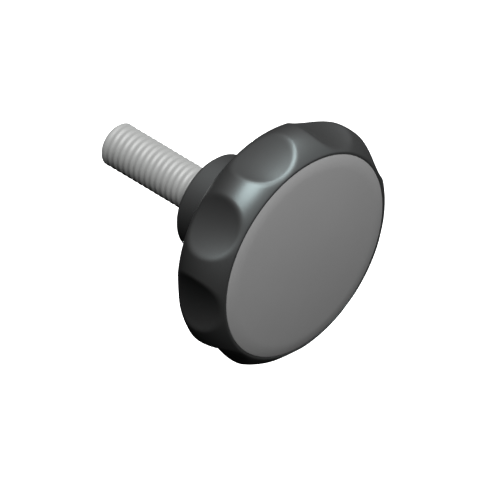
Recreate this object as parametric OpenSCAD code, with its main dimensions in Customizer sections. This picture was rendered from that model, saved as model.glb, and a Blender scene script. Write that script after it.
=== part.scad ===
// Scalloped handwheel with a threaded stud, in millimetres.
// The wheel's axis is Y: the cover cap faces -Y and the stud points to +Y.
// The origin is the centre of the boss face, which seats on the clamped part.
// A lobe points straight up, to +Z.

/* [Wheel] */
// Diameter over the lobes
wheel_d = 45; // [36:0.5:63]
// Height from the rim's front lip to the boss face
wheel_h = 22.2; // [18:0.1:32]
// Height of the rim, from its front lip to the flat back of the web
rim_h = 12.3; // [10.5:0.1:15]
// Angle from the rim's widest circle to its front lip, round the arc of its section
rim_front_angle = 54.5; // [45:0.5:60]
// Angle from the rim's widest circle to the back of the web, round the same arc
rim_back_angle = 81; // [65:1:84]

/* [Scallops] */
// Number of scallops round the rim
scallop_count = 9; // [5:1:10]
// Radius that each scallop is cut to
scallop_round_r = 9.8; // [7:0.1:11]
// Depth of a scallop below the lobes
scallop_depth = 2.5; // [1:0.1:3]
// How far a scallop's edges are softened, square to the rim's surface
scallop_edge = 0.55; // [0.4:0.05:1.2]

/* [Boss and hub] */
// Diameter of the boss
boss_d = 17.9; // [13:0.1:24]
// Chamfer round the boss face
boss_chamfer = 0.5; // [0.3:0.1:1.2]
// Radius of the fillet where the boss stands on the web
boss_root_r = 0.8; // [0.3:0.1:1.5]
// How far the countersink in the boss face is wider than the thread, all round
boss_countersink = 0.3; // [0.2:0.1:0.8]
// Thickness of the web between the boss and the rim
web_t = 2.6; // [2:0.1:3.5]
// Wall of the hub round the corners of the stud's head
hub_wall = 1.4; // [1:0.1:2.5]
// Thickness of the ribs that stand on the web
rib_t = 1.6; // [1:0.1:2.5]

/* [Cover cap] */
// Least width of the lip round the cap, which is at the scallops
lip_w = 0.3; // [0.2:0.05:1.2]
// Depth of the seat that the cap lies in, below the front lip
cap_seat_depth = 1.6; // [1.3:0.1:2]
// Width of the seat
cap_seat_w = 2.8; // [1.8:0.1:4]
// How far the cap's edge lies below the front lip
cap_sunk = 0.15; // [0:0.05:0.5]
// Radius of the cap's soft shoulder
cap_shoulder_r = 16; // [8:0.5:24]
// Width of the shoulder, along the cap's radius
cap_shoulder_w = 3; // [1.5:0.1:4]
// How far the dome inside the shoulder rises
cap_dome = 0.85; // [0.4:0.05:1.6]
// Thickness of the cap's plate and of its snap ring
cap_wall = 1.2; // [0.9:0.1:1.6]
// Length of the snap ring below the cap's seat
snap_ring_h = 2.8; // [2.4:0.1:3.4]
// Radius of the snap ring's bead
bead_r = 0.55; // [0.4:0.05:0.7]
// Gap round the cap, its snap ring and its bead
cap_gap = 0.06; // [0.03:0.01:0.15]

/* [Stud] */
// Outside diameter of the stud's thread
stud_d = 8; // [6:0.5:10]
// Length of the stud beyond the boss face
stud_l = 22.5; // [12:0.5:60]
// Chamfer at the stud's tip
stud_chamfer = 0.5; // [0.3:0.1:1.2]
// How much less the diameter of the moulded-in shank is than the thread's
shank_relief = 0.8; // [0.5:0.1:1.2]
// Width across the flats of the stud's hexagonal head
head_af = 13; // [10:0.5:16]
// Height of the head
head_h = 5.3; // [3.5:0.1:6]
// How far the head lies below the top of the hub
head_recess = 1.1; // [0.5:0.1:1.6]
// Gap between the moulded-in stud and the hub
moulding_gap = 0.05; // [0.02:0.01:0.1]

/* [Hidden] */
$fn = 96;

// Steps round one scallop's pitch, and from the front lip to the back
PITCH_STEPS = 18;
DEPTH_STEPS = 18;
// Sides of the large, nearly flat arcs
FINE = 720;
// How far a cut runs past the face that it opens
PAST = 1;
// Direction of the first scallop in the wheel's plane, which is straight down
FIRST_SCALLOP = 90;
// How many times wider a scallop's edge may be softened where the rim leans away to the back
MOST_SOFT = 3;

wheel_r = wheel_d / 2;
boss_r = boss_d / 2;
rim_round_r = rim_h / (sin(rim_front_angle) + sin(rim_back_angle));
rim_mid_depth = rim_round_r * sin(rim_front_angle);
rim_centre_r = wheel_r - rim_round_r;
scallop_pitch = 360 / scallop_count;
scallop_axis_r = wheel_r - scallop_depth + scallop_round_r;

cap_r = outside_r(FIRST_SCALLOP, 0) - lip_w - cap_gap;
pocket_r = cap_r + cap_gap - cap_seat_w;
pocket_depth = rim_h - web_t;
snap_ring_r = pocket_r - cap_gap;
snap_ring_end = cap_seat_depth + snap_ring_h;
// The bead is centred in the snap ring's outer wall, near its end
bead_depth = snap_ring_end - bead_r - cap_gap;
bead_centre_r = snap_ring_r - bead_r / 2;

// The hub and the ribs stay below the snap ring
hub_depth = snap_ring_end + cap_gap;
head_r = head_af / 2 / cos(30);
head_depth = hub_depth + head_recess;
head_seat_depth = head_depth + head_h;
thread_r = stud_d / 2;
shank_r = thread_r - shank_relief / 2;

// Lays a piece, drawn with its depth below the front lip along Z, into the wheel's frame
module behind_lip() {
    rotate([-90, 0, 0])
        translate([0, 0, -wheel_h])
            children();
}

// Radius of the rim's rounded outside at a depth below the front lip
function rim_r(depth) =
    let (from_middle = depth - rim_mid_depth)
    rim_centre_r + sqrt(rim_round_r ^ 2 - from_middle ^ 2);

// Distance from the wheel's axis to a scallop's floor, at an angle from the scallop's middle
function scallop_floor_r(angle) =
    let (aside = scallop_axis_r * sin(angle))
    scallop_axis_r * cos(angle) - sqrt(max(scallop_round_r ^ 2 - aside ^ 2, 0));

// Angle from the middle of the nearest scallop
function angle_in_scallop(angle) =
    let (pitches = (angle - FIRST_SCALLOP) / scallop_pitch)
    (pitches - round(pitches)) * scallop_pitch;

// How far along the radius a scallop's edge is softened, which grows as the rim's surface leans
function edge_soft(depth) =
    scallop_edge * min(rim_round_r / (rim_r(depth) - rim_centre_r), MOST_SOFT);

// The lesser of two radii, with the corner where they cross softened
function soft_min(a, b, soft) =
    min(a, b) - max(soft - abs(a - b), 0) ^ 2 / (4 * soft);

// Radius of the wheel's outside at an angle round the axis and a depth below the front lip
function outside_r(angle, depth) =
    soft_min(rim_r(depth), scallop_floor_r(angle_in_scallop(angle)), edge_soft(depth));

// Depth of ring i of DEPTH_STEPS, evenly spread along the arc of the rim's section
function ring_depth(i) =
    let (turned = (rim_front_angle + rim_back_angle) * i / DEPTH_STEPS)
    rim_mid_depth + rim_round_r * sin(turned - rim_front_angle);

// The wheel's outside as a solid disc: a ring of points at each depth, walls from ring to ring,
// and a fan round a middle point that closes the front and the back
module scalloped_disc() {
    columns = PITCH_STEPS * scallop_count;
    points = [
        for (i = [0:DEPTH_STEPS], j = [0:columns - 1])
            let (angle = 360 * j / columns, depth = ring_depth(i), r = outside_r(angle, depth))
            [r * cos(angle), r * sin(angle), depth]
    ];
    walls = [
        for (i = [0:DEPTH_STEPS - 1], j = [0:columns - 1])
            let (a = i * columns + j, b = i * columns + (j + 1) % columns)
            each [[a, a + columns, b], [b, a + columns, b + columns]]
    ];
    front_middle = len(points);
    back_middle = front_middle + 1;
    last_ring = DEPTH_STEPS * columns;
    fans = [
        for (j = [0:columns - 1])
            let (next = (j + 1) % columns)
            each [[front_middle, j, next], [back_middle, last_ring + next, last_ring + j]]
    ];
    polyhedron(
        points = concat(points, [[0, 0, 0], [0, 0, rim_h]]),
        faces = concat(walls, fans),
        convexity = 4
    );
}

// The seat for the cap, the pocket behind it, and the groove for the snap ring's bead
module cap_pocket() {
    translate([0, 0, -PAST])
        cylinder(h = cap_seat_depth + PAST, r = cap_r + cap_gap);
    cylinder(h = pocket_depth, r = pocket_r);
    rotate_extrude()
        translate([bead_centre_r, bead_depth])
            circle(r = bead_r + cap_gap);
}

// The ribs on the web, one at each scallop, from the hub into the rim's wall
module ribs() {
    for (i = [0:scallop_count - 1])
        rotate(FIRST_SCALLOP + i * scallop_pitch)
            translate([0, -rib_t / 2, hub_depth])
                cube([pocket_r + PAST, rib_t, pocket_depth + web_t / 2 - hub_depth]);
}

// The hub inside the wheel and the boss behind it, which meet inside the web
module hub_and_boss() {
    web_middle = pocket_depth + web_t / 2;
    translate([0, 0, hub_depth])
        cylinder(h = web_middle - hub_depth, r = head_r + moulding_gap + hub_wall);
    rotate_extrude() {
        polygon([
            [0, web_middle],
            [boss_r, web_middle],
            [boss_r, wheel_h - boss_chamfer],
            [boss_r - boss_chamfer, wheel_h],
            [0, wheel_h]
        ]);
        difference() {
            translate([0, web_middle])
                square([boss_r + boss_root_r, rim_h + boss_root_r - web_middle]);
            translate([boss_r + boss_root_r, rim_h + boss_root_r])
                circle(r = boss_root_r);
        }
    }
}

// The hollow that the stud's head and shank fill, with a countersink in the boss face that clears
// the first thread of what the stud goes into
module stud_hollow() {
    hole_r = shank_r + moulding_gap;
    countersink_r = thread_r + boss_countersink;
    countersink_h = countersink_r - hole_r;
    translate([0, 0, hub_depth - PAST])
        cylinder(h = head_seat_depth - hub_depth + PAST, r = head_r + moulding_gap, $fn = 6);
    cylinder(h = wheel_h + PAST, r = hole_r);
    translate([0, 0, wheel_h - countersink_h])
        cylinder(h = countersink_h + PAST, r1 = hole_r, r2 = countersink_r + PAST);
}

module handwheel_body() {
    color([0.10, 0.10, 0.105])
        behind_lip()
            difference() {
                union() {
                    difference() {
                        scalloped_disc();
                        cap_pocket();
                    }
                    ribs();
                    hub_and_boss();
                }
                stud_hollow();
            }
}

// Half of the cap's plate in section. Its dome runs over into its shoulder as one smooth curve of
// two arcs, and an arc concentric with the dome hollows it inside the snap ring
module cap_plate_outline() {
    shoulder_start = cap_r - cap_shoulder_w;
    dome_r = (shoulder_start ^ 2 + cap_dome ^ 2) / (2 * cap_dome);
    dome_slope = asin(shoulder_start / dome_r);
    shoulder_centre_r = shoulder_start - cap_shoulder_r * sin(dome_slope);
    shoulder_centre_depth =
        sqrt(cap_shoulder_r ^ 2 - (cap_r - shoulder_centre_r) ^ 2) + cap_sunk;
    dome_centre_depth = shoulder_centre_depth + (dome_r - cap_shoulder_r) * cos(dome_slope);
    dome_top = dome_centre_depth - dome_r;
    difference() {
        intersection() {
            translate([0, dome_centre_depth])
                circle(r = dome_r, $fn = FINE);
            translate([0, dome_top - PAST])
                square([shoulder_start, cap_seat_depth - dome_top + PAST]);
        }
        intersection() {
            translate([0, dome_centre_depth])
                circle(r = dome_r - cap_wall, $fn = FINE);
            translate([0, dome_top])
                square([snap_ring_r - cap_wall, cap_seat_depth - dome_top + PAST]);
        }
    }
    intersection() {
        translate([shoulder_centre_r, shoulder_centre_depth])
            circle(r = cap_shoulder_r, $fn = FINE);
        translate([shoulder_start, dome_top])
            square([cap_shoulder_w, cap_seat_depth - dome_top]);
    }
}

module cover_cap() {
    color([0.42, 0.42, 0.42])
        behind_lip()
            rotate_extrude() {
                cap_plate_outline();
                translate([snap_ring_r - cap_wall, cap_seat_depth - cap_wall])
                    square([cap_wall, snap_ring_h + cap_wall]);
                translate([bead_centre_r, bead_depth])
                    circle(r = bead_r);
            }
}

module threaded_stud() {
    color([0.78, 0.78, 0.76])
        behind_lip() {
            translate([0, 0, head_depth])
                cylinder(h = head_h, r = head_r, $fn = 6);
            translate([0, 0, head_depth + head_h / 2])
                cylinder(h = wheel_h - head_depth - head_h / 2, r = shank_r);
            translate([0, 0, wheel_h])
                rotate_extrude()
                    polygon([
                        [0, 0],
                        [thread_r, 0],
                        [thread_r, stud_l - stud_chamfer],
                        [thread_r - stud_chamfer, stud_l],
                        [0, stud_l]
                    ]);
        }
}

handwheel_body();
cover_cap();
threaded_stud();
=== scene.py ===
from math import acos, asin, atan2, cos, hypot, pi, radians, sin, sqrt

import bpy
from mathutils import Euler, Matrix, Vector


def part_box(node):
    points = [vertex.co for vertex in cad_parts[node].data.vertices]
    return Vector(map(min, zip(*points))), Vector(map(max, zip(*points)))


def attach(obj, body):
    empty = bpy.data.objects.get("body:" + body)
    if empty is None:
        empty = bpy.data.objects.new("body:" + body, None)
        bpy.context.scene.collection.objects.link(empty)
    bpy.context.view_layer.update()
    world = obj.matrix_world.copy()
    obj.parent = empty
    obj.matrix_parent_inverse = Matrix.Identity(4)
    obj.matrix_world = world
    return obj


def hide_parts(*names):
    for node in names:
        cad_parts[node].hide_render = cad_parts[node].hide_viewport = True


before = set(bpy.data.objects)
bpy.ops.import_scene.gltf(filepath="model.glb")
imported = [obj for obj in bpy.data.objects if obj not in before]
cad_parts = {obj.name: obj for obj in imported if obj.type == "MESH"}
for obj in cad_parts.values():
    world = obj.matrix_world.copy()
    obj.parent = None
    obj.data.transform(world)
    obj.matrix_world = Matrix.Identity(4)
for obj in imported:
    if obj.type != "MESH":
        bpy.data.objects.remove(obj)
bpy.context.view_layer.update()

# ---- Camera ----------------------------------------------------------------------------------
# A parallel view from in front of the handwheel, to its left and above it, so that the cap
# shows as an ellipse and the stud points away to the upper left.

CAMERA_TILT = Euler((radians(57.018), radians(-5.243), radians(-46.323)))
CAMERA_AIM = Vector((-0.006502, -0.013720, 0.000810))
CAMERA_DISTANCE = 0.4
VIEW_HEIGHT = 0.08298

camera_data = bpy.data.cameras.new("camera")
camera_data.type = "ORTHO"
camera_data.ortho_scale = VIEW_HEIGHT
camera_data.clip_start = 0.01
camera_data.clip_end = 20
camera = bpy.data.objects.new("camera", camera_data)
camera.rotation_euler = CAMERA_TILT
towards_camera = CAMERA_TILT.to_matrix() @ Vector((0, 0, 1))
camera.location = CAMERA_AIM + towards_camera * CAMERA_DISTANCE
bpy.context.scene.collection.objects.link(camera)
bpy.context.scene.camera = camera

# ---- Wheel body ------------------------------------------------------------------------------
# The black wheel is one moulding of glass-filled plastic: a rounded rim with nine finger
# scallops, a web, a hub and a boss. It is turned here as a blank, and then the scallops are
# pressed into its rim. The ribs in its closed pocket are left out.

LIP_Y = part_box("handwheel_body")[0].y
WHEEL_H = -LIP_Y
WHEEL_R = 0.0225
RIM_H = 0.0123
RIM_FRONT_ANGLE = radians(54.5)
RIM_BACK_ANGLE = radians(81)
RIM_ROUND_R = RIM_H / (sin(RIM_FRONT_ANGLE) + sin(RIM_BACK_ANGLE))
RIM_MID_DEPTH = RIM_ROUND_R * sin(RIM_FRONT_ANGLE)
RIM_CENTRE_R = WHEEL_R - RIM_ROUND_R
LIP_ROUND = 0.0006

# A scallop's floor is an arc across the rim, bowed from front to back to a larger arc
SCALLOPS = 9
FIRST_SCALLOP = radians(-90)
SCALLOP_DEPTH = 0.00186
SCALLOP_R = 0.0145
SCALLOP_AXIS_R = WHEEL_R - SCALLOP_DEPTH + SCALLOP_R
SCALLOP_BOW_R = 0.025
SCALLOP_EDGE = 0.00038

BOSS_R = 0.00895
BOSS_ROOT_ROUND = 0.0008
BOSS_CHAMFER = 0.0005
WEB_T = 0.0026
COUNTERSINK_R = 0.0043
SHANK_HOLE_R = 0.00365
HEAD_HOLE_R = 0.00756
HEAD_SEAT_DEPTH = 0.01086
HUB_R = 0.00896
HUB_DEPTH = 0.00446

CAP_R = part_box("cover_cap")[1].z
CAP_GAP = 0.00006
SEAT_R = CAP_R + CAP_GAP
SEAT_DEPTH = 0.0016
SEAT_W = 0.0028
SEAT_EDGE_ROUND = 0.00005
POCKET_R = SEAT_R - SEAT_W
POCKET_DEPTH = RIM_H - WEB_T
BEAD_R = 0.00055
GROOVE_R = BEAD_R + CAP_GAP
GROOVE_CENTRE_R = POCKET_R - CAP_GAP - BEAD_R / 2
GROOVE_DEPTH = 0.00379

# A ring this far from a round or an edge keeps the plain face beside it even in its shading
HOLD = 0.0001
LIP_HOLD = 0.00003

# How far out and back the points of the boss's softened corners lie from the sharp corners
BOSS_SIDE_CORNER = ((-0.00002, -0.00007), (-0.00007, 0.00002))
BOSS_FACE_CORNER = ((0.00007, -0.00012), (-0.00002, -0.00003), (-0.00012, 0))

WHEEL_COLUMNS = 540
MERGE_DISTANCE = 0.000002
SMOOTH_ANGLE = radians(32)

# Points up to this far outside the seat's wall belong to the wall, and aren't pressed
SEAT_MARGIN = 0.00002

# The lip's edge is rounded with a small arc that runs smoothly into the rim's
lip_arc_rise = RIM_MID_DEPTH - LIP_ROUND
lip_arc_reach = sqrt((RIM_ROUND_R - LIP_ROUND) ** 2 - lip_arc_rise**2)
lip_edge_r = RIM_CENTRE_R + lip_arc_reach
rim_start = -atan2(lip_arc_rise, lip_arc_reach)
groove_half = acos((POCKET_R - GROOVE_CENTRE_R) / GROOVE_R)


def arc(centre_r, centre_depth, radius, start, end, steps):
    """Points along an arc in a turned outline. An angle of 0 points away from the axis, and one
    of 90 degrees to the back."""
    turns = [start + (end - start) * i / steps for i in range(steps + 1)]
    return [(centre_r + radius * cos(t), centre_depth + radius * sin(t)) for t in turns]


def soft_corner(radius, depth, offsets):
    """Points round a softened corner in a turned outline, by their offsets from the corner."""
    return [(radius + out, depth + back) for out, back in offsets]


def turn(name, outline, columns):
    """Turns a blank round the Y axis from its outline of (radius, depth behind the lip). The
    outline closes on itself, or it runs from pole to pole and the two small holes are filled."""
    bpy.ops.object.select_all(action="DESELECT")
    radius, depth = outline[0]
    bpy.ops.mesh.primitive_circle_add(
        vertices=columns, radius=radius, location=(0, LIP_Y + depth, 0), rotation=(pi / 2, 0, 0)
    )
    blank = bpy.context.object
    blank.name = name
    bpy.ops.object.transform_apply(location=True, rotation=True, scale=True)
    bpy.ops.object.mode_set(mode="EDIT")
    bpy.ops.mesh.select_all(action="SELECT")
    for next_radius, next_depth in outline[1:]:
        bpy.ops.mesh.extrude_edges_move(
            TRANSFORM_OT_translate={"value": (0, next_depth - depth, 0)}
        )
        factor = next_radius / radius
        bpy.ops.transform.resize(value=(factor, 1, factor), center_override=(0, 0, 0))
        radius, depth = next_radius, next_depth
    bpy.ops.mesh.select_all(action="SELECT")
    bpy.ops.mesh.remove_doubles(threshold=MERGE_DISTANCE)
    bpy.ops.mesh.fill_holes(sides=0)
    bpy.ops.mesh.normals_make_consistent(inside=False)
    bpy.ops.object.mode_set(mode="OBJECT")
    return blank


def rim_r(depth):
    """Radius of the rim's rounded outside at a depth behind the lip."""
    from_middle = depth - RIM_MID_DEPTH
    return RIM_CENTRE_R + sqrt(RIM_ROUND_R**2 - from_middle**2)


def scallop_floor_r(angle, depth):
    """Distance from the wheel's axis to the nearest scallop's floor, which is bowed from the
    rim's front to its back."""
    pitch = 2 * pi / SCALLOPS
    pitches = (angle - FIRST_SCALLOP) / pitch
    aside = (pitches - round(pitches)) * pitch
    bow = SCALLOP_BOW_R - sqrt(SCALLOP_BOW_R**2 - (depth - RIM_MID_DEPTH) ** 2)
    axis_r = SCALLOP_AXIS_R - bow
    chord = SCALLOP_R**2 - (axis_r * sin(aside)) ** 2
    return axis_r * cos(aside) - sqrt(chord)


def soft_min(a, b, soft):
    """The lesser of two radii, with the corner where they cross softened."""
    return min(a, b) - max(soft - abs(a - b), 0) ** 2 / (4 * soft)


def press_scallops(mesh):
    """Draws the points of the rim in towards the axis, by less and less across the lip, and not
    at all within the seat's wall. The scallops' edges are softer where the rim slopes away."""
    lip_width = lip_edge_r - SEAT_R
    for point in mesh.vertices:
        x, y, z = point.co
        r = hypot(x, z)
        if r < SEAT_R + SEAT_MARGIN:
            continue
        depth = y - LIP_Y
        full_r = rim_r(depth)
        soft = SCALLOP_EDGE * RIM_ROUND_R / (full_r - RIM_CENTRE_R)
        pull = full_r - soft_min(full_r, scallop_floor_r(atan2(z, x), depth), soft)
        factor = 1 - pull * min((r - SEAT_R) / lip_width, 1) / r
        point.co = (x * factor, y, z * factor)


# From the seat's edge over the lip, the rim and the boss, then back through the stud's hole and
# the hub to the pocket with its groove, and to the seat
wheel_outline = [
    *arc(
        SEAT_R + SEAT_EDGE_ROUND,
        SEAT_EDGE_ROUND,
        SEAT_EDGE_ROUND,
        radians(180),
        radians(270),
        steps=3,
    ),
    (SEAT_R + SEAT_EDGE_ROUND + LIP_HOLD, 0),
    (lip_edge_r - LIP_HOLD, 0),
    *arc(lip_edge_r, LIP_ROUND, LIP_ROUND, radians(-90), rim_start, steps=5),
    *arc(RIM_CENTRE_R, RIM_MID_DEPTH, RIM_ROUND_R, rim_start, RIM_BACK_ANGLE, steps=72)[1:],
    (BOSS_R + BOSS_ROOT_ROUND + 2 * HOLD, RIM_H),
    *arc(
        BOSS_R + BOSS_ROOT_ROUND,
        RIM_H + BOSS_ROOT_ROUND,
        BOSS_ROOT_ROUND,
        radians(270),
        radians(180),
        steps=8,
    ),
    (BOSS_R, RIM_H + BOSS_ROOT_ROUND + HOLD),
    (BOSS_R, WHEEL_H - BOSS_CHAMFER - 2 * HOLD),
    *soft_corner(BOSS_R, WHEEL_H - BOSS_CHAMFER, BOSS_SIDE_CORNER),
    *soft_corner(BOSS_R - BOSS_CHAMFER, WHEEL_H, BOSS_FACE_CORNER),
    (COUNTERSINK_R + HOLD, WHEEL_H),
    (COUNTERSINK_R, WHEEL_H),
    (SHANK_HOLE_R, WHEEL_H - COUNTERSINK_R + SHANK_HOLE_R),
    (SHANK_HOLE_R, HEAD_SEAT_DEPTH),
    (HEAD_HOLE_R, HEAD_SEAT_DEPTH),
    (HEAD_HOLE_R, HUB_DEPTH),
    (HUB_R, HUB_DEPTH),
    (HUB_R, POCKET_DEPTH),
    (POCKET_R, POCKET_DEPTH),
    *arc(GROOVE_CENTRE_R, GROOVE_DEPTH, GROOVE_R, groove_half, -groove_half, steps=8),
    (POCKET_R, SEAT_DEPTH),
    (SEAT_R, SEAT_DEPTH),
]
wheel = turn("wheel", [*wheel_outline, wheel_outline[0]], WHEEL_COLUMNS)
press_scallops(wheel.data)
bpy.ops.object.shade_smooth_by_angle(angle=SMOOTH_ANGLE)


def new_material(name, **values):
    """A material, its node tree and its one shader. Constant values are set on the shader."""
    material = bpy.data.materials.new(name)
    material.use_nodes = True
    shader = material.node_tree.nodes["Principled BSDF"]
    for socket, value in values.items():
        shader.inputs[socket.replace("_", " ")].default_value = value
    return material, material.node_tree, shader


def add_node(tree, kind, place, **values):
    """Adds a node at its place in the tree, with the values of its sockets by name."""
    added = tree.nodes.new(kind)
    added.location = place
    for socket, value in values.items():
        added.inputs[socket.replace("_", " ")].default_value = value
    return added


def vary_colour(tree, mask, first, second, shader):
    """Mixes two fixed colours by a mask that changes over the surface. On the Mix node, inputs
    6 and 7 are the two colours, and output 2 is the mixed one."""
    mix = tree.nodes.new("ShaderNodeMix")
    mix.data_type = "RGBA"
    mix.location = (-450, 200)
    mix.inputs[6].default_value = (*first, 1)
    mix.inputs[7].default_value = (*second, 1)
    tree.links.new(mask, mix.inputs["Factor"])
    tree.links.new(mix.outputs[2], shader.inputs["Base Color"])


def vary_roughness(tree, mask, low, high, shader):
    """Spreads a mask from 0 to 1 over a range of roughness."""
    ranged = add_node(tree, "ShaderNodeMapRange", (-450, -50), To_Min=low, To_Max=high)
    tree.links.new(mask, ranged.inputs["Value"])
    tree.links.new(ranged.outputs["Result"], shader.inputs["Roughness"])


def raise_relief(tree, height, depth, shader):
    """Turns a height into a fine relief on the shader's normal."""
    bump = add_node(tree, "ShaderNodeBump", (-250, -300), Strength=0.5, Distance=depth)
    tree.links.new(height, bump.inputs["Height"])
    tree.links.new(bump.outputs["Normal"], shader.inputs["Normal"])


def moulded_grain_group():
    """The fine grain of a moulded face, and the cloudy variation of its colour and gloss."""
    group = bpy.data.node_groups.new("moulded grain", "ShaderNodeTree")
    make = group.interface.new_socket
    make(name="Place", in_out="INPUT", socket_type="NodeSocketVector")
    make(name="Grains per metre", in_out="INPUT", socket_type="NodeSocketFloat")
    make(name="Clouds per metre", in_out="INPUT", socket_type="NodeSocketFloat")
    make(name="Grain", in_out="OUTPUT", socket_type="NodeSocketFloat")
    make(name="Cloud", in_out="OUTPUT", socket_type="NodeSocketFloat")
    enter = add_node(group, "NodeGroupInput", (-500, 0))
    leave = add_node(group, "NodeGroupOutput", (300, 0))
    grain = add_node(group, "ShaderNodeTexNoise", (-200, 150), Detail=2, Roughness=0.6)
    cloud = add_node(group, "ShaderNodeTexNoise", (-200, -150), Detail=3, Roughness=0.55)
    for noise, count, result in (
        (grain, "Grains per metre", "Grain"),
        (cloud, "Clouds per metre", "Cloud"),
    ):
        group.links.new(enter.outputs["Place"], noise.inputs["Vector"])
        group.links.new(enter.outputs[count], noise.inputs["Scale"])
        group.links.new(noise.outputs["Fac"], leave.inputs[result])
    return group


moulded_grain = moulded_grain_group()
GRAIN_DEPTH = 0.000004


def finish_moulded(tree, shader, colours, roughness, grains, clouds):
    """Finishes a plastic with clouds of colour and gloss, and with fine grain, by how many of
    each there are to the metre. They are placed on the piece's own coordinates."""
    where = add_node(tree, "ShaderNodeTexCoord", (-900, 0))
    grain = tree.nodes.new("ShaderNodeGroup")
    grain.node_tree = moulded_grain
    grain.location = (-700, 0)
    grain.inputs["Grains per metre"].default_value = grains
    grain.inputs["Clouds per metre"].default_value = clouds
    tree.links.new(where.outputs["Object"], grain.inputs["Place"])
    vary_colour(tree, grain.outputs["Cloud"], *colours, shader)
    vary_roughness(tree, grain.outputs["Cloud"], *roughness, shader)
    raise_relief(tree, grain.outputs["Grain"], GRAIN_DEPTH, shader)


# The moulding skin is a dull neutral coat, and under it the plastic shines a little blue-green
BLACKS = ((0.011, 0.011, 0.011), (0.014, 0.014, 0.014))
BLACK_ROUGHNESS = (0.355, 0.39)
black_plastic, tree, shader = new_material(
    "black moulded plastic",
    IOR=1.5,
    Specular_IOR_Level=0.56,
    Specular_Tint=(0.757, 0.98, 1.0, 1),
    Coat_Weight=1.0,
    Coat_Roughness=0.65,
    Coat_IOR=1.5,
)
finish_moulded(tree, shader, BLACKS, BLACK_ROUGHNESS, grains=3500, clouds=160)
wheel.data.materials.append(black_plastic)

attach(wheel, "root")
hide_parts("handwheel_body")

# ---- Cover cap -------------------------------------------------------------------------------
# The grey cap is a thin moulded disc with a low dome and a soft shoulder. A snap ring on its
# underside clicks into the wheel's pocket.

CAP_SUNK = 0.00005
DOME_RISE = 0.00075
SHOULDER_R = 0.013
SHOULDER_W = 0.0026
CAP_EDGE_ROUND = 0.00015
CAP_WALL = 0.0012
SNAP_RING_R = POCKET_R - CAP_GAP
SNAP_RING_END = 0.0044
CAP_COLUMNS = 360
DOME_RINGS = 24
HOLLOW_RINGS = 12
FRONT = radians(-90)

# The dome's arc runs over into the shoulder's, which ends at the cap's edge
shoulder_start = CAP_R - SHOULDER_W
dome_r = (shoulder_start**2 + DOME_RISE**2) / (2 * DOME_RISE)
dome_slope = asin(shoulder_start / dome_r)
shoulder_centre_r = shoulder_start - SHOULDER_R * sin(dome_slope)
shoulder_centre = sqrt(SHOULDER_R**2 - (CAP_R - shoulder_centre_r) ** 2) + CAP_SUNK
dome_centre = shoulder_centre + (dome_r - SHOULDER_R) * cos(dome_slope)
hollow_r = dome_r - CAP_WALL
hollow_slope = asin((SNAP_RING_R - CAP_WALL) / hollow_r)
bead_half = acos((SNAP_RING_R - GROOVE_CENTRE_R) / BEAD_R)

# The rounded edge touches the shoulder's arc from inside and ends in the cap's wall
edge_centre_r = CAP_R - CAP_EDGE_ROUND
edge_slope = asin((edge_centre_r - shoulder_centre_r) / (SHOULDER_R - CAP_EDGE_ROUND))
edge_centre = shoulder_centre - (SHOULDER_R - CAP_EDGE_ROUND) * cos(edge_slope)

# From the dome's middle over the shoulder and the edge, then along the seat and the snap ring
# with its bead to the middle of the hollow
cap_outline = [
    *arc(
        0,
        dome_centre,
        dome_r,
        FRONT + dome_slope / DOME_RINGS,
        FRONT + dome_slope,
        steps=DOME_RINGS - 1,
    ),
    *arc(
        shoulder_centre_r,
        shoulder_centre,
        SHOULDER_R,
        FRONT + dome_slope,
        FRONT + edge_slope,
        steps=14,
    )[1:],
    *arc(edge_centre_r, edge_centre, CAP_EDGE_ROUND, FRONT + edge_slope, 0, steps=5)[1:],
    (CAP_R, edge_centre + HOLD),
    (CAP_R, SEAT_DEPTH),
    (SNAP_RING_R, SEAT_DEPTH),
    *arc(GROOVE_CENTRE_R, GROOVE_DEPTH, BEAD_R, -bead_half, bead_half, steps=8),
    (SNAP_RING_R, SNAP_RING_END),
    (SNAP_RING_R - CAP_WALL, SNAP_RING_END),
    *arc(
        0,
        dome_centre,
        hollow_r,
        FRONT + hollow_slope,
        FRONT + hollow_slope / HOLLOW_RINGS,
        steps=HOLLOW_RINGS - 1,
    ),
]
cap = turn("cap", cap_outline, CAP_COLUMNS)
bpy.ops.object.shade_smooth_by_angle(angle=SMOOTH_ANGLE)

GREYS = ((0.198, 0.198, 0.198), (0.208, 0.208, 0.208))
GREY_ROUGHNESS = (0.70, 0.76)
grey_plastic, tree, shader = new_material("grey matt plastic", IOR=1.5, Specular_IOR_Level=0.38)
finish_moulded(tree, shader, GREYS, GREY_ROUGHNESS, grains=3000, clouds=120)
cap.data.materials.append(grey_plastic)

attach(cap, "root")
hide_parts("cover_cap")

# ---- Threaded stud ---------------------------------------------------------------------------
# The stud is one piece of zinc-plated steel with a rolled metric coarse thread. Its plain shank
# and its hexagonal head are moulded into the hub.

THREAD_R = 0.004
THREAD_PITCH = 0.00125
THREAD_DEPTH = 0.00016
THREAD_START = radians(-65)
STUD_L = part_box("threaded_stud")[1].y
TIP_CHAMFER = 0.0005
SHANK_R = 0.0036
SHANK_CONE = 0.0004
HEAD_FLAT_R = 0.0065
HEAD_CORNER_R = HEAD_FLAT_R / cos(radians(30))
HEAD_H = 0.0053
STUD_COLUMNS = 96
RINGS_PER_PITCH = 14
POLE_R = 0.0003
STUD_SMOOTH_ANGLE = radians(28)

# How far out and back the points of the tip's softened corners lie from the sharp corners
TIP_SIDE_CORNER = ((-0.00002, -0.00002), (-0.00007, 0.00006))
TIP_FACE_CORNER = ((0.00007, -0.00008), (0.00001, -0.00003), (-0.00009, 0))


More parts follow.
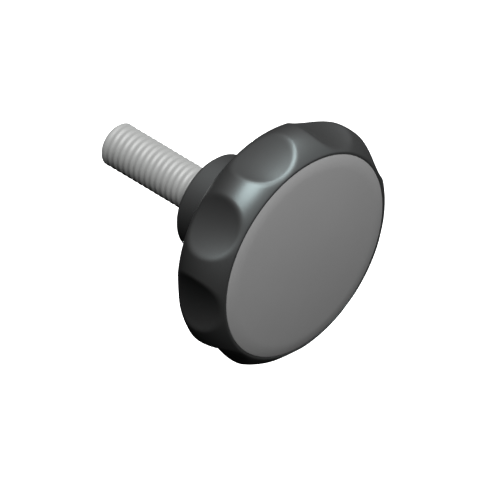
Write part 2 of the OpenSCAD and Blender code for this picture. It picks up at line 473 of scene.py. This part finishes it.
def roll_thread(mesh):
    """Presses the low, rounded right-hand thread into the stud. It fades in over the shank's
    cone, and out over the last pitch before the tip's chamfer."""
    tip_start = STUD_L - TIP_CHAMFER
    for point in mesh.vertices:
        x, y, z = point.co
        r = hypot(x, z)
        turns = y / THREAD_PITCH + (atan2(z, x) - THREAD_START) / (2 * pi)
        fade = min(max(y / SHANK_CONE + 1, 0), max((tip_start - y) / THREAD_PITCH, 0), 1)
        factor = 1 - THREAD_DEPTH * fade * (1 - cos(2 * pi * turns)) / 2 / r
        point.co = (x * factor, y, z * factor)


def forge_head(mesh):
    """Presses the round head to a hexagon, with two of its corners on the X axis."""
    for point in mesh.vertices:
        x, y, z = point.co
        if hypot(x, z) < HEAD_FLAT_R:
            continue
        from_corner = atan2(z, x) % radians(60)
        factor = cos(radians(30)) / cos(from_corner - radians(30))
        point.co = (x * factor, y, z * factor)


# From the middle of the head along the shank and the thread to the middle of the tip
tip = WHEEL_H + STUD_L
thread_l = STUD_L - TIP_CHAMFER
thread_rings = round(thread_l / THREAD_PITCH * RINGS_PER_PITCH)
ring_step = (thread_l - HOLD) / thread_rings
stud_outline = [
    (POLE_R, HEAD_SEAT_DEPTH - HEAD_H),
    (HEAD_CORNER_R, HEAD_SEAT_DEPTH - HEAD_H),
    (HEAD_CORNER_R, HEAD_SEAT_DEPTH),
    (SHANK_R, HEAD_SEAT_DEPTH),
    (SHANK_R, WHEEL_H - SHANK_CONE),
    *[(THREAD_R, WHEEL_H + ring_step * ring) for ring in range(thread_rings + 1)],
    *soft_corner(THREAD_R, tip - TIP_CHAMFER, TIP_SIDE_CORNER),
    *soft_corner(THREAD_R - TIP_CHAMFER, tip, TIP_FACE_CORNER),
    (POLE_R, tip),
]
stud = turn("stud", stud_outline, STUD_COLUMNS)
roll_thread(stud.data)
forge_head(stud.data)
bpy.ops.object.shade_smooth_by_angle(angle=STUD_SMOOTH_ANGLE)

# Fine lines run round the stud from the rolling, and the plating varies a little in colour
ZINCS = ((0.372, 0.376, 0.372), (0.4, 0.405, 0.4))
ZINC_ROUGHNESS = (0.88, 0.98)
LINES_PER_METRE = (300, 9000, 300)
LINE_DEPTH = 0.000003
steel, tree, shader = new_material(
    "zinc-plated steel", Metallic=1.0, Coat_Weight=0.5, Coat_Roughness=0.42, Coat_IOR=1.6
)
where = add_node(tree, "ShaderNodeTexCoord", (-1100, 0))
round_lines = add_node(tree, "ShaderNodeMapping", (-900, 0), Scale=LINES_PER_METRE)
streaks = add_node(tree, "ShaderNodeTexNoise", (-700, 0), Scale=1, Detail=2, Roughness=0.5)
plating = add_node(tree, "ShaderNodeTexNoise", (-700, 250), Scale=500, Detail=3, Roughness=0.6)
tree.links.new(where.outputs["Object"], round_lines.inputs["Vector"])
tree.links.new(round_lines.outputs["Vector"], streaks.inputs["Vector"])
tree.links.new(where.outputs["Object"], plating.inputs["Vector"])
vary_colour(tree, plating.outputs["Fac"], *ZINCS, shader)
vary_roughness(tree, streaks.outputs["Fac"], *ZINC_ROUGHNESS, shader)
raise_relief(tree, streaks.outputs["Fac"], LINE_DEPTH, shader)
stud.data.materials.append(steel)

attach(stud, "root")
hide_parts("threaded_stud")

# ---- Floor and light -------------------------------------------------------------------------
# A plain white floor lies well below the handwheel and neither shades it nor shows in its gloss.
# Three large soft lights stand in front, above and to the right of the view, and a small one
# shines from straight behind. The camera sees white all round, which gives only a dim light.

FLOOR_Z = -0.25
FLOOR_SIZE = 12
LIGHT_DISTANCE = 2
DIM_LIGHT = 0.006
WHITE = (1, 1, 1, 1)

bpy.ops.object.select_all(action="DESELECT")
bpy.ops.mesh.primitive_plane_add(size=FLOOR_SIZE, location=(0, 0, FLOOR_Z))
floor = bpy.context.object
floor.name = "floor"
floor.visible_diffuse = False
floor.visible_glossy = False
floor.visible_shadow = False
floor_paint = new_material("white floor", Base_Color=(0.92, 0.92, 0.92, 1))[0]
floor.data.materials.append(floor_paint)


def add_sun(name, direction, strength, size):
    """A far light of a size in degrees. Its direction is from the handwheel to the light, in
    the camera's axes."""
    light = bpy.data.lights.new(name, "SUN")
    light.energy = strength
    light.angle = radians(size)
    lamp = bpy.data.objects.new(name, light)
    towards = CAMERA_TILT.to_matrix() @ Vector(direction)
    lamp.rotation_euler = towards.to_track_quat("Z", "Y").to_euler()
    lamp.location = towards.normalized() * LIGHT_DISTANCE
    bpy.context.scene.collection.objects.link(lamp)


add_sun("main light", (0.077, 0.528, 0.846), strength=6.59, size=46)
add_sun("top light", (0.197, 0.91, 0.363), strength=1.38, size=24)
add_sun("side light", (0.8, 0.256, 0.543), strength=0.88, size=96)
add_sun("far light", (0, 0, -1), strength=3.0, size=4)

world = bpy.data.worlds.new("studio")
world.use_nodes = True
bpy.context.scene.world = world
tree = world.node_tree
surroundings = tree.nodes["Background"]
surroundings.inputs["Color"].default_value = WHITE
surroundings.inputs["Strength"].default_value = DIM_LIGHT
backdrop = add_node(tree, "ShaderNodeBackground", (0, -200), Color=WHITE, Strength=1)
seen = add_node(tree, "ShaderNodeLightPath", (-200, 300))
choice = add_node(tree, "ShaderNodeMixShader", (250, 0))
tree.links.new(seen.outputs["Is Camera Ray"], choice.inputs["Fac"])
tree.links.new(surroundings.outputs["Background"], choice.inputs[1])
tree.links.new(backdrop.outputs["Background"], choice.inputs[2])
tree.links.new(choice.outputs["Shader"], tree.nodes["World Output"].inputs["Surface"])

bpy.context.scene.view_settings.view_transform = "Standard"
